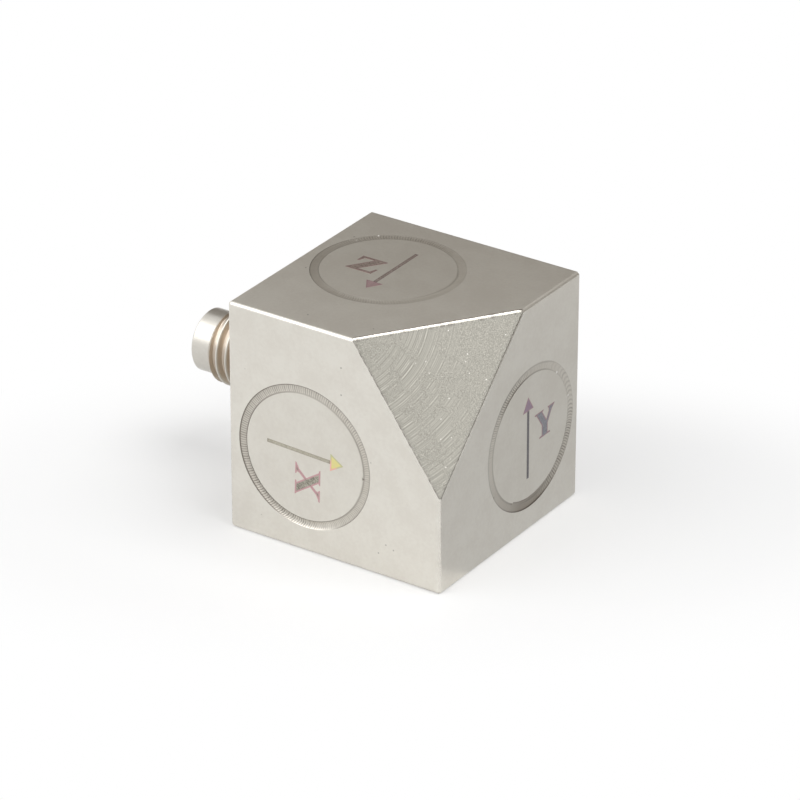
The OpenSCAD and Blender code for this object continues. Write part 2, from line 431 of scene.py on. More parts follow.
@dataclass(frozen=True)
class Finish:
    """A surface finish: a mottled colour with a fine grain, over plain shader values."""

    name: str
    light: Colour
    dark: Colour
    metallic: float = 1.0
    smooth: float = 0.38
    rough: float = 0.46
    mottle_mm: float = 2.4
    grain_mm: float = 0.09
    grain_height_mm: float = 0.003

    def build(self) -> bpy.types.Material:
        """Makes the material, whose patterns follow Object coordinates.

        Returns:
            The new material.
        """
        material = bpy.data.materials.new(self.name)
        graph = Graph.of(material)
        surface = self.surface(graph, graph.add("TexCoord").outputs["Object"])
        bump = graph.add("Bump", {"Height": surface.height_mm, "Distance": MM})
        inputs = {
            "Metallic": self.metallic,
            "Base Color": surface.colour,
            "Roughness": surface.roughness,
            "Normal": bump.outputs[0],
        }
        shader = graph.add("BsdfPrincipled", inputs)
        graph.add("OutputMaterial", {"Surface": shader.outputs[0]})
        return material

    def surface(self, graph: Graph, place: Socket) -> Surface:
        """Works out the finish at a place.

        Args:
            graph: The material's graph.
            place: Object coordinates.

        Returns:
            The mottled colour, and the grain's roughness and height.
        """
        inputs = {"Vector": place, "Size": self.mottle_mm, "Light": self.light, "Dark": self.dark}
        mottled = graph.group(mottle_group(), inputs)["Colour"]
        inputs = {"Vector": place, "Size": self.grain_mm, "Smooth": self.smooth, "Rough": self.rough}
        grain = graph.group(grain_group(), inputs)
        height_mm = graph.math("MULTIPLY", grain["Height"], self.grain_height_mm)
        return Surface(mottled, grain["Roughness"], height_mm)


@lru_cache(maxsize=None)
def material_of(finish: Finish) -> bpy.types.Material:
    """The material of a finish, made once."""
    return finish.build()


@dataclass(frozen=True)
class MilledCut:
    """The milled face of the cut corner: arcs round the cutter's axis, with a coarse sparkle between.

    A pair of levels, or of millimetres, says where an effect is absent and where it is full. Places on
    the face are counted from where the cutter's axis met it, with x level and to the right. The tilt
    makes the face darker at its left and lighter at its right.
    """

    normal: Point = (math.sqrt(0.5), -0.5, 0.5)
    level_mm: Point = (1.74, -HALF_MM, 2 * HALF_MM)
    cutter_mm: Point = (-0.36, -10.28, 22.69)
    plane_mm: Pair = (0.05, 0.03)
    light: Colour = (0.605, 0.585, 0.522)
    dark: Colour = (0.325, 0.312, 0.275)
    smooth: float = 0.38
    rough: float = 0.46
    tilt: float = 0.1
    tilt_mm: Pair = (0.0, 12.0)
    arc_pitch_mm: float = 0.115
    arc_levels: Pair = (0.28, 0.78)
    arc_height_mm: float = 0.005
    arcs_inner_mm: Pair = (4.0, 8.0)
    arcs_outer_mm: Pair = (20.0, 16.0)
    arcs_right_mm: Pair = (12.0, 7.0)
    patch_mm: float = 1.0
    patch_levels: Pair = (0.36, 0.62)
    sparkle_mm: float = 0.08
    sparkle_levels: Pair = (0.32, 0.82)
    sparkle_height_mm: float = 0.006
    glint: Colour = (0.95, 0.93, 0.88)
    glint_cell_mm: float = 0.5
    glint_share: float = 0.3
    glint_right_mm: Pair = (2.0, 10.0)

    def turn(self) -> tuple[float, float, float]:
        """Works out how the face lies.

        Returns:
            Angles of the frame whose z axis is the face's normal and whose x axis lies level.
        """
        z = Vector(self.normal)
        x = Vector((0, 0, 1)).cross(z).normalized()
        return tuple(Matrix((x, z.cross(x), z)).transposed().to_euler())

    def offset_mm(self) -> float:
        """Distance of the face from the row frame's origin, along its normal."""
        return float(np.dot(self.normal, self.level_mm))

    def surface(self, graph: Graph, place: Socket) -> tuple[Socket, Surface]:
        """Works out the milled finish at a place.

        Args:
            graph: The material's graph.
            place: Object coordinates.

        Returns:
            A mask that is 1 close to the face's plane, and the finish there.
        """
        turned = {
            "Vector": place,
            "Location": tuple(MM * c for c in self.cutter_mm),
            "Rotation": self.turn(),
        }
        local = graph.add("Mapping", turned, vector_type="TEXTURE").outputs[0]
        x, y, above = graph.add("SeparateXYZ", {0: local}).outputs
        on_face = graph.ramp(graph.math("ABSOLUTE", above), self.plane_mm, MM)
        flat = graph.add("CombineXYZ", {"X": x, "Y": y}).outputs[0]
        radius = graph.vector("LENGTH", flat).outputs["Value"]
        arcs = graph.ramp(graph.stripes(radius, self.arc_pitch_mm, detail=3.0), self.arc_levels)
        limits = (
            graph.ramp(radius, self.arcs_outer_mm, MM),
            graph.ramp(radius, self.arcs_inner_mm, MM),
            graph.ramp(x, self.arcs_right_mm, MM),
        )
        patches = graph.ramp(graph.noise(place, self.patch_mm, detail=3.0), self.patch_levels)
        shown = graph.math("MULTIPLY", patches, graph.chain("MULTIPLY", *limits))
        grains = graph.ramp(graph.noise(place, self.sparkle_mm, detail=2.0), self.sparkle_levels)
        tilt = graph.between(graph.ramp(x, self.tilt_mm, MM), -self.tilt, self.tilt)
        pattern = graph.math("ADD", graph.between(shown, grains, arcs), tilt)
        # Glints: pale dots painted into the colour as highlights, more of them towards the right.
        inputs = {"Vector": place, "Cell": self.glint_cell_mm, "Share": self.glint_share}
        glints = graph.group(specks_group(), inputs)["Mask"]
        glints = graph.math("MULTIPLY", glints, graph.ramp(x, self.glint_right_mm, MM))
        colour = graph.mix(glints, graph.mix(pattern, self.dark, self.light), self.glint)
        rough = graph.between(grains, self.smooth, self.rough)
        arcs_mm = graph.math("MULTIPLY", arcs, self.arc_height_mm)
        grains_mm = graph.math("MULTIPLY", grains, self.sparkle_height_mm)
        return on_face, Surface(colour, rough, graph.between(shown, grains_mm, arcs_mm))


@dataclass(frozen=True)
class EdgeMasks:
    """The sockets of the masks of the block's edges, each from 0 to 1."""

    rubbed: Socket
    matt: Socket
    lined: Socket
    nicked: Socket


@dataclass(frozen=True)
class BlockEdges:
    """How the block's edges look.

    Every edge is rubbed but the ones that run from front to back, which are matt. Thin dark lines of
    painted shade run between the cut and the front and right faces, and patches of painted shade break
    the highlight of the edge between the cut and the top, standing for nick marks in it. A pair of
    millimetres gives the distances from the edge where an effect is absent and where it is full. The
    line at the front begins front_mm farther out, because that edge is broken. Blotches move the rubbed
    edges by up to worn_mm, and the lines by up to broken_mm.
    """

    rubbed_mm: Pair = (0.3, 0.09)
    rubbed_rough: float = 0.24
    matt_mm: Pair = (0.25, 0.15)
    matt_rough: float = 0.45
    lined_mm: Pair = (0.055, 0.033)
    front_mm: float = 0.015
    nicked_mm: Pair = (0.3, 0.15)
    nick_mm: float = 0.6
    nick_levels: Pair = (0.52, 0.62)
    nick_share: float = 0.55
    blotch_mm: float = 0.35
    worn_mm: float = 0.18
    broken_mm: float = 0.02475

    def masks(self, graph: Graph, place: Socket, cut: MilledCut) -> EdgeMasks:
        """Works out ragged masks of the edges.

        On the surface one of the distances to the block's planes is about zero, so the larger one of a
        pair is the distance to the edge between those two planes.

        Args:
            graph: The material's graph.
            place: Object coordinates.
            cut: The cut corner's face.

        Returns:
            The masks at the place.
        """
        moved = graph.vector("SUBTRACT", place, tuple(MM * c for c in CENTRE_MM)).outputs["Vector"]
        planes = [
            graph.math("SUBTRACT", MM * HALF_MM, graph.math("ABSOLUTE", part))
            for part in graph.add("SeparateXYZ", {0: moved}).outputs
        ]
        reach = graph.vector("DOT_PRODUCT", place, cut.normal).outputs["Value"]
        planes.append(graph.math("SUBTRACT", MM * cut.offset_mm(), reach))
        x, y, z, slope = range(len(planes))
        pairs = [(i, j) for j in (y, z, slope) for i in range(j)]
        edges = {(i, j): graph.math("MAXIMUM", planes[i], planes[j]) for i, j in pairs}
        matt = graph.ramp(edges.pop((x, z)), self.matt_mm, MM)
        blotch = graph.noise(place, self.blotch_mm, detail=3.0)
        worn = graph.between(blotch, MM * self.worn_mm, -MM * self.worn_mm)
        nearest = graph.chain("MINIMUM", *edges.values())
        rubbed = graph.ramp(graph.math("ADD", nearest, worn), self.rubbed_mm, MM)
        # Painted shade: a ragged dark line along the cut's edges with the front and right faces.
        front = graph.math("SUBTRACT", edges[y, slope], MM * self.front_mm)
        broken = graph.between(blotch, -MM * self.broken_mm, MM * self.broken_mm)
        ragged = graph.math("ADD", graph.math("MINIMUM", edges[x, slope], front), broken)
        lined = graph.ramp(ragged, self.lined_mm, MM)
        # Painted shade patches over the highlight of the cut's edge with the top, standing for nick marks in
        # it.
        painted_nick_shade = graph.ramp(graph.noise(place, self.nick_mm, detail=4.0), self.nick_levels)
        nicked = graph.math("MULTIPLY", painted_nick_shade, graph.ramp(edges[z, slope], self.nicked_mm, MM))
        return EdgeMasks(rubbed, matt, lined, nicked)


@dataclass(frozen=True)
class BlockSteel(Finish):
    """Blasted steel: worn edges, painted shade along the cut's edges, dark specks and the milled cut face.
    """

    cut: MilledCut = MilledCut()
    edges: BlockEdges = BlockEdges()
    # The colour of the painted shade along the cut's edges and over its nick marks, and of the dark specks.
    line: Colour = (0.22, 0.20, 0.18)
    speck_cell_mm: float = 0.7
    speck_share: float = 0.07
    speck_tint: float = 0.6

    def surface(self, graph: Graph, place: Socket) -> Surface:
        """Works out the block's finish at a place.

        Args:
            graph: The material's graph.
            place: Object coordinates.

        Returns:
            Blasted steel off the cut face and milled steel on it, with what lies along the edges.
        """
        base = super().surface(graph, place)
        on_face, milled = self.cut.surface(graph, place)
        masks = self.edges.masks(graph, place, self.cut)
        inputs = {"Vector": place, "Cell": self.speck_cell_mm, "Share": self.speck_share}
        specks = graph.group(specks_group(), inputs)["Mask"]
        specks = graph.between(on_face, graph.math("MULTIPLY", specks, self.speck_tint), 0.0)
        painted_nick_shade = graph.math("MULTIPLY", masks.nicked, self.edges.nick_share)
        # Dark specks, and painted shade along the cut's edges and over the nick marks of its top edge.
        dark = graph.chain("MAXIMUM", specks, masks.lined, painted_nick_shade)
        colour = graph.mix(dark, graph.mix(on_face, base.colour, milled.colour), self.line)
        rough = graph.between(on_face, base.roughness, milled.roughness)
        rough = graph.between(masks.rubbed, rough, self.edges.rubbed_rough)
        rough = graph.between(masks.matt, rough, self.edges.matt_rough)
        return Surface(colour, rough, graph.between(on_face, base.height_mm, milled.height_mm))


@dataclass(frozen=True)
class WeldMetal(Finish):
    """Weld metal: brown where it burnt, with painted shade in its valleys and a painted glint on its drops.
    """

    deep: Colour = (0.365, 0.33, 0.283)
    # The colour of painted shade in the ripples' valleys, along the bead's edges and in its pits.
    valley: Colour = (0.15, 0.13, 0.11)
    valley_share: float = 0.9
    # The colour of a painted glint on a drop.
    drop: Colour = (1.0, 0.98, 0.95)
    drop_levels: Pair = (-0.1, -0.8)

    def surface(self, graph: Graph, place: Socket) -> Surface:
        """Works out the weld's finish at a place, from the piece's depth and valley attributes.

        Args:
            graph: The material's graph.
            place: Object coordinates.

        Returns:
            The plain finish with its brown tint, its painted shade and its painted glints.
        """
        base = super().surface(graph, place)
        valley = graph.attribute("valley")
        tinted = graph.mix(graph.attribute("depth"), base.colour, self.deep)
        dark = graph.math("MULTIPLY", graph.math("MAXIMUM", valley, 0.0), self.valley_share)
        colour = graph.mix(dark, tinted, self.valley)
        # Painted glint: where the attribute is below zero, on a drop, the colour goes pale.
        colour = graph.mix(graph.ramp(valley, self.drop_levels), colour, self.drop)
        return Surface(colour, base.roughness, base.height_mm)


@dataclass(frozen=True)
class TurnedSteel(Finish):
    """Steel turned on a lathe whose axis lies along x, with a brown tint in its thread grooves."""

    stain: Colour = (0.58, 0.51, 0.43)
    stain_levels: Pair = (0.05, 0.4)
    ring_pitch_mm: float = 0.12
    ring_height_mm: float = 0.003

    def surface(self, graph: Graph, place: Socket) -> Surface:
        """Works out the turned finish at a place, from the piece's depth attribute.

        Args:
            graph: The material's graph.
            place: Object coordinates.

        Returns:
            The plain finish with the lathe's rings, and with a brown tint in the grooves.
        """
        base = super().surface(graph, place)
        along = graph.add("SeparateXYZ", {0: place}).outputs["X"]
        rings = graph.stripes(along, self.ring_pitch_mm, detail=3.0)
        rings_mm = graph.math("MULTIPLY", rings, self.ring_height_mm)
        groove_tinted = graph.ramp(graph.attribute("depth"), self.stain_levels)
        colour = graph.mix(groove_tinted, base.colour, self.stain)
        return Surface(colour, base.roughness, graph.math("ADD", base.height_mm, rings_mm))


@dataclass(frozen=True)
class OxideMark(Finish):
    """A mark burnt by a laser: a hatched oxide film with a coloured rim.

    The rim's colour is full in the part rim_full of its width, next to the outline, and may differ at
    the mark's upper left.
    """

    rim: Colour = (0.6, 0.34, 0.36)
    left_rim: Colour | None = None
    rim_mm: float = 0.13
    rim_full: float = 0.4
    side_levels: Pair = (-0.2, 0.2)
    hatch: Colour = (0.17, 0.16, 0.13)
    hatch_way: Point = (0.8, 0.9, 1.0)
    hatch_pitch_mm: float = 0.11
    hatch_levels: Pair = (0.45, 0.6)
    hatch_share: float = 0.25
    blotch_mm: float = 0.17
    blotch_levels: Pair = (0.36, 0.66)
    blotch_share: float = 0.65

    def surface(self, graph: Graph, place: Socket) -> Surface:
        """Works out the mark's finish at a place, from the piece's rim and side attributes.

        Args:
            graph: The material's graph.
            place: Object coordinates.

        Returns:
            Fine hatching and blotches inside, and the rim's colours near the mark's outline.
        """
        base = super().surface(graph, place)
        slant = graph.vector("DOT_PRODUCT", place, self.hatch_way).outputs["Value"]
        lines = graph.ramp(graph.stripes(slant, self.hatch_pitch_mm, detail=1.0), self.hatch_levels)
        blotches = graph.ramp(graph.noise(place, self.blotch_mm, detail=2.0), self.blotch_levels)
        lines = graph.math("MULTIPLY", lines, self.hatch_share)
        blotches = graph.math("MULTIPLY", blotches, self.blotch_share)
        film = graph.mix(graph.math("ADD", lines, blotches), base.colour, self.hatch)
        side = graph.ramp(graph.attribute("side"), self.side_levels)
        rim = graph.mix(side, self.left_rim or self.rim, self.rim)
        near = graph.ramp(graph.attribute("rim"), (self.rim_mm, self.rim_full * self.rim_mm))
        return Surface(graph.mix(near, film, rim), base.roughness, base.height_mm)


BLOCK_STEEL = BlockSteel("blasted_block_steel", (0.735, 0.71, 0.65), (0.695, 0.665, 0.605))
CAP_STEEL = Finish("blasted_cap_steel", (0.705, 0.68, 0.62), (0.67, 0.64, 0.58))
WELD_METAL = WeldMetal("weld_metal", (0.72, 0.69, 0.625), (0.68, 0.645, 0.58), smooth=0.34, rough=0.44)
CONNECTOR_STEEL = TurnedSteel(
    "turned_connector_steel", (0.64, 0.615, 0.565), (0.60, 0.575, 0.525), smooth=0.30, rough=0.38
)

# The finish of each material slot of the CAD nodes: two colours, how metallic, smooth and rough it is,
# and the size of its mottling.
SLOT_FINISHES: dict[str, Finish] = {
    "steel_block": BLOCK_STEEL,
    "steel_cap": CAP_STEEL,
    "weld_metal": WELD_METAL,
    "connector_steel": CONNECTOR_STEEL,
    "seal_glass": Finish("fused_seal_glass", (0.05, 0.10, 0.085), (0.03, 0.06, 0.05), 0.0, 0.08, 0.16, 0.8),
    "pin_gold": Finish("plated_pin_gold", (0.90, 0.66, 0.27), (0.83, 0.58, 0.21), 1.0, 0.2, 0.3, 0.5),
    "board_laminate": Finish("board_laminate", (0.05, 0.20, 0.09), (0.03, 0.14, 0.06), 0.0, 0.35, 0.5, 0.6),
    "chip_resin": Finish("chip_resin", (0.035, 0.035, 0.038), (0.02, 0.02, 0.022), 0.0, 0.5, 0.65, 0.5),
    "lead_insulation": Finish("lead_insulation", (0.80, 0.77, 0.70), (0.72, 0.68, 0.60), 0.0, 0.4, 0.5, 0.7),
    "element_steel": Finish(
        "machined_post_steel", (0.66, 0.65, 0.63), (0.60, 0.59, 0.57), 1.0, 0.28, 0.4, 1.0
    ),
    "piezo_ceramic": Finish("lapped_ceramic", (0.80, 0.74, 0.58), (0.74, 0.67, 0.50), 0.0, 0.45, 0.6, 0.8),
    "mass_steel": Finish("ground_mass_steel", (0.38, 0.39, 0.41), (0.33, 0.34, 0.36), 1.0, 0.25, 0.35, 0.9),
    "ring_steel": Finish("turned_ring_steel", (0.50, 0.51, 0.53), (0.44, 0.45, 0.47), 1.0, 0.25, 0.38, 0.9),
}


# Weld seams


@dataclass(frozen=True)
class BeadKnot:
    """How a seam looks at one place round it.

    The bead fills the seam from inner_at to outer_at, where -1 and 1 are the seam's own edges, and
    spills over the inner face below -1. The slant says how far a ripple's outer end runs ahead of its
    inner end. The brown tint goes from 0 to 1. The shade lines are painted shade along the bead's
    edges, where the groove's walls are in shade, and one that is over 1 is wider.
    """

    at_deg: float
    dish_mm: float
    ripple_mm: float
    pitch_mm: float
    brown: float
    inner_line: float
    outer_line: float
    slant_mm: float = 0.0
    inner_at: float = -1.0
    outer_at: float = 1.0


@dataclass(frozen=True)
class Dent:
    """A pit in a seam, or a drop on it if its depth is negative; across goes from -1 to 1 outwards."""

    at_deg: float
    across: float
    radius_mm: float
    depth_mm: float


@dataclass
class WeldSeam:
    """A rippled ring of weld metal that fills the groove round a joint.

    The bow curves the ripples, and the uneven fields vary how dark the painted shade in their valleys
    is round the seam. The film fields shape a spill: how proud it lies, how deep its grid is hidden
    where there is none, and its distance from the groove as a part of the seam's half width.
    """

    node: str
    seat: Seat
    knots: tuple[BeadKnot, ...]
    dents: tuple[Dent, ...] = ()
    width_mm: float = SEAM_MM
    root_mm: float = SEAM_ROOT_MM
    bow: float = 0.8
    bow_round: float = 0.9
    full_ripple_mm: float = 0.03
    uneven: float = 0.2
    uneven_waves: tuple[int, int] = (53, 17)
    uneven_sway: float = 2.0
    line_mm: float = 0.08
    soft_mm: float = 0.03
    film_mm: float = 0.006
    film_sunk_mm: float = 0.03
    film_gap: float = 0.01
    drop_from: float = 0.3
    across: int = 25
    step_mm: float = 0.022

    def build(self) -> None:
        """Makes the ring: a dished profile carried round the joint, closed by the groove's walls."""
        low, high = (np.array(c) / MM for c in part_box(self.node))
        size_mm = high - low
        depth_mm = size_mm @ np.abs(self.seat.z)
        radius_mm = size_mm.max() / 2 - self.width_mm / 2
        angle = np.linspace(0, TURN, int(TURN * radius_mm / self.step_mm), endpoint=False)
        t = np.sin(np.linspace(-np.pi / 2, np.pi / 2, self.across))
        reach = -min(k.inner_at for k in self.knots)
        if reach > 1:
            t = np.concatenate([np.linspace(-reach, -1 - self.film_gap, self.across // 2), t])
        top_mm, brown, valley = self.bead(angle[:, None], t[None, :], radius_mm)
        root_r = radius_mm + np.array([0.5, -0.5]) * self.root_mm
        radii = np.concatenate([radius_mm + t * self.width_mm / 2, root_r])[None, :]
        floor = np.full((len(angle), 2), -depth_mm)
        points, faces = loft(revolve(radii, np.hstack([top_mm, floor]), angle), True)
        # The groove's walls are full brown and fully in painted shade.
        burnt = np.ones_like(floor)
        tints = {"depth": np.hstack([brown, burnt]), "valley": np.hstack([valley, burnt])}
        piece = Piece(f"rippled_{self.node}", WELD_METAL, "weld_metal", self.node)
        piece.build(self.seat.place(points), faces, tints)

    def bead(self, angle: Array, t: Array, radius_mm: float) -> tuple[Array, Array, Array]:
        """Height of the bead above the face.

        The height is -dish·(1 - b²) - ripple·(1 - |sin(π·phase)|)·(1 - b⁶), where b goes from -1 to 1
        across the groove, less a bell-shaped pit for each dent. A spill is a thin film on the face. The
        phase counts the ripples round the seam, bows back at the bead's edges and leans by the slant.

        Args:
            angle: Angles round the seam, as a column.
            t: Places across the seam from -1 to 1, as a row.
            radius_mm: The seam's middle radius.

        Returns:
            Heights in millimetres of shape (angles, places), and two tints of that shape: how brown the
            bead is, and how much painted shade it gets in its valleys, along its edges and in its pits, or
            below zero for a painted glint where a dent stands proud.
        """
        degrees = np.degrees(angle)
        at = [k.at_deg for k in self.knots]
        names = [f.name for f in fields(BeadKnot)][1:]
        dish, ripple, pitch, brown, inner, outer, slant, low, high = (
            np.interp(degrees, at, [getattr(k, name) for k in self.knots], period=360) for name in names
        )
        half = (high - low) / 2
        b = (t - (low + high) / 2) / half
        edge_mm = (1 - np.abs(b)) * half * self.width_mm / 2
        groove_half = (high - np.maximum(low, -1)) / 2
        b2 = np.minimum(((t - high) / groove_half + 1) ** 2, 1)
        count = np.cumsum(radius_mm * TURN / len(angle) / pitch, axis=0)
        phase = count * round(count[-1, 0]) / count[-1, 0] - slant * b / 2 / pitch
        phase = phase + self.bow * (1 - np.sqrt(1 - self.bow_round * np.minimum(b**2, 1)))
        wave = 1 - np.abs(np.sin(np.pi * phase))
        height = -dish * (1 - b2) - ripple * wave * (1 - b2**3)
        height = np.where(t < -1, np.where(b > -1, self.film_mm, -self.film_sunk_mm), height)
        fast, slow = self.uneven_waves
        swing = np.sin(fast * angle + self.uneven_sway * np.sin(slow * angle))
        uneven = 1 - self.uneven + self.uneven * swing
        on_bead = np.clip(edge_mm / self.soft_mm, 0, 1)
        # Painted shade: dark in the ripples' valleys and along the bead's edges, where the groove's walls
        # are in shade.
        line = np.where(b < 0, inner, outer) * np.exp(-((edge_mm / self.line_mm) ** 2))
        valley = np.maximum(on_bead * wave * uneven * np.minimum(ripple / self.full_ripple_mm, 1), line)
        for dent in self.dents:
            turn = (degrees - dent.at_deg + 180) % 360 - 180
            along_mm = np.radians(turn) * radius_mm
            across_mm = (t - dent.across) * self.width_mm / 2
            pit = np.exp(-(along_mm**2 + across_mm**2) / dent.radius_mm**2)
            height = height - dent.depth_mm * pit
            # A pit gets painted shade, and a drop a painted glint.
            if dent.depth_mm > 0:
                valley = np.maximum(valley, pit)
            else:
                valley = np.where(pit > self.drop_from, -pit, valley)
        return height, brown * on_bead, np.clip(valley, -1, 1)


# Connector and mounting thread


@dataclass
class ConnectorShell:
    """The turned connector: a tail in the block, relief, screw thread, pilot and keyed socket.

    Lengths are measured from the block's left face outwards. A step in the outline is step_mm long, and
    a side of the key takes key_side_rad.
    """

    node: str = "connector_shell"
    tail_r_mm: float = 3.3
    tail_l_mm: float = 4.0
    seam_mm: float = SEAM_MM
    seam_root_mm: float = SEAM_ROOT_MM
    seam_depth_mm: float = 0.5
    relief_r_mm: float = 2.72
    relief_l_mm: float = 0.9
    thread_r_mm: float = 3.175
    thread_end_mm: float = 7.37
    pitch_mm: float = 25.4 / 28
    groove_mm: float = 0.54
    start_turns: float = -0.12
    crest: float = 0.16
    root: float = 0.42
    pilot_r_mm: float = 2.635
    end_mm: float = 9.12
    chamfer_mm: float = 0.15
    socket_r_mm: float = 2.2
    glass_seat_r_mm: float = 1.9
    glass_out_mm: float = 3.02
    glass_in_mm: float = 1.22
    key_w_mm: float = 0.7
    key_h_mm: float = 0.35
    key_l_mm: float = 3.4
    key_side_rad: float = 0.004
    step_mm: float = 0.01
    per_pitch: int = 48
    per_turn: int = 144

    @property
    def seat(self) -> Seat:
        """The frame at the middle of the left face: z out of it and x up."""
        return Seat.on_face((-1, 0, 0), (0, 0, 1))

    @property
    def key_end_mm(self) -> float:
        """How far out the key in the socket reaches."""
        return self.glass_out_mm + self.key_l_mm

    def outline(self) -> tuple[Array, Array, Array]:
        """The shell's closed outline without thread and key.

        Returns:
            Radii, lengths, and a mask of the stretch that carries the thread.
        """
        tail = [
            (self.glass_seat_r_mm, -self.tail_l_mm),
            (self.tail_r_mm, -self.tail_l_mm),
            (self.tail_r_mm, -self.seam_depth_mm),
            (self.tail_r_mm - self.seam_root_mm / 2, -self.seam_depth_mm),
            (self.tail_r_mm - self.seam_mm / 2, 0),
            (self.relief_r_mm, 0),
        ]
        turns = (self.thread_end_mm - self.relief_l_mm) / self.pitch_mm
        along = np.linspace(self.relief_l_mm, self.thread_end_mm, int(turns * self.per_pitch))
        rise = self.relief_r_mm + along - self.relief_l_mm
        fall = self.pilot_r_mm + self.thread_end_mm - along
        envelope = np.minimum(np.minimum(rise, fall), self.thread_r_mm)
        pilot = [
            (self.pilot_r_mm, self.thread_end_mm + self.step_mm),
            (self.pilot_r_mm, self.end_mm - self.chamfer_mm),
            (self.pilot_r_mm - self.chamfer_mm, self.end_mm),
            (self.socket_r_mm + self.chamfer_mm, self.end_mm),
            (self.socket_r_mm, self.end_mm - self.chamfer_mm),
            (self.socket_r_mm, self.key_end_mm + self.step_mm),
            (self.socket_r_mm, self.key_end_mm),
            (self.socket_r_mm, self.glass_out_mm),
            (self.socket_r_mm, self.glass_in_mm),
            (self.glass_seat_r_mm, self.glass_in_mm),
        ]
        radius, length = np.concatenate([tail, np.stack([envelope, along], axis=1), pilot]).T
        threaded = np.zeros(len(radius), bool)
        threaded[len(tail) : len(tail) + len(along)] = True
        return radius, length, threaded

    def build(self) -> None:
        """Makes the shell: the outline turned about the axis, less the thread's groove, plus the key.

        In the threaded stretch the radius is the smaller of the outline's and of thread radius less
        groove depth, where the depth follows the length less the part of a turn. On the key the socket's
        radius is less by the key's height.
        """
        radius, length, threaded = self.outline()
        half_key = math.asin(self.key_w_mm / 2 / self.socket_r_mm)
        foot = half_key + self.key_side_rad
        sides = np.array([half_key, foot, -half_key, -foot])
        even = np.linspace(0, TURN, self.per_turn, endpoint=False)
        angle = np.sort(np.concatenate([even, sides % TURN]))
        turns = length[None, :] / self.pitch_mm - angle[:, None] / TURN + self.start_turns
        groove = thread_depth(turns, self.crest, self.root) * threaded[None, :]
        cut = np.minimum(radius[None, :], self.thread_r_mm - self.groove_mm * groove)
        in_key = np.abs((angle + np.pi) % TURN - np.pi) <= half_key + self.key_side_rad / 2
        in_socket = np.arange(len(radius)) > threaded.nonzero()[0][-1]
        keyed = in_socket & (length >= self.glass_out_mm) & (length <= self.key_end_mm)
        cut = cut - self.key_h_mm * (in_key[:, None] & keyed[None, :])
        points, faces = loft(revolve(cut, length[None, :], angle), True)
        piece = Piece("threaded_connector_shell", CONNECTOR_STEEL, "connector_steel", self.node)
        piece.build(self.seat.place(points), faces, {"depth": groove})


@dataclass
class MountingThread:
    """The M5 thread of the hole in the back face, as ridges that line its wall."""

    wall_r_mm: float = 2.1
    ridge_mm: float = 0.2
    pitch_mm: float = 0.8
    depth_mm: float = 5.0
    countersink_mm: float = 0.5
    lining_mm: float = 0.01
    stain: float = 0.5
    per_pitch: int = 36
    per_turn: int = 96

    def build(self) -> None:
        """Makes the lining: a tube against the wall whose inner radius follows a helix.

        The inner radius is wall - lining - ridge·(1 - depth), where depth is the thread's depth at the
        length less the part of a turn. Both ends run out to the wall.
        """
        seat = Seat.on_face((0, 1, 0), (1, 0, 0))
        turns = (self.depth_mm - self.countersink_mm) / self.pitch_mm
        along = np.linspace(-self.depth_mm, -self.countersink_mm, int(turns * self.per_pitch))
        angle = np.linspace(0, TURN, self.per_turn, endpoint=False)
        groove = thread_depth(along[None, :] / self.pitch_mm - angle[:, None] / TURN)
        ends_mm = np.minimum(along + self.depth_mm, -self.countersink_mm - along)
        ridge_mm = np.minimum(self.ridge_mm, ends_mm)[None, :] * (1 - groove)
        inner = self.wall_r_mm - self.lining_mm - ridge_mm
        outer = np.full((len(angle), 2), self.wall_r_mm)
        length = np.concatenate([along, along[[-1, 0]]])[None, :]
        points, faces = loft(revolve(np.hstack([inner, outer]), length, angle), True)
        depth = self.stain * np.hstack([groove, np.ones_like(outer)])
        piece = Piece("mounting_thread", CONNECTOR_STEEL, "connector_steel")
        piece.build(seat.place(points), faces, {"depth": depth})


# Axis marks


@dataclass(frozen=True)
class Bar:
    """A straight stroke with level ends: a letter's, in parts of its box, or an arrow's, in millimetres."""

    top: float
    top_left: float
    top_right: float
    bottom: float
    bottom_left: float
    bottom_right: float

    def corners(self) -> Array:
        """Works out where the stroke's corners lie.

        Returns:
            The four corners, clockwise from the top left, as right and up.
        """
        upper = [(self.top_left, self.top), (self.top_right, self.top)]
        lower = [(self.bottom_right, self.bottom), (self.bottom_left, self.bottom)]
        return np.array(upper + lower)


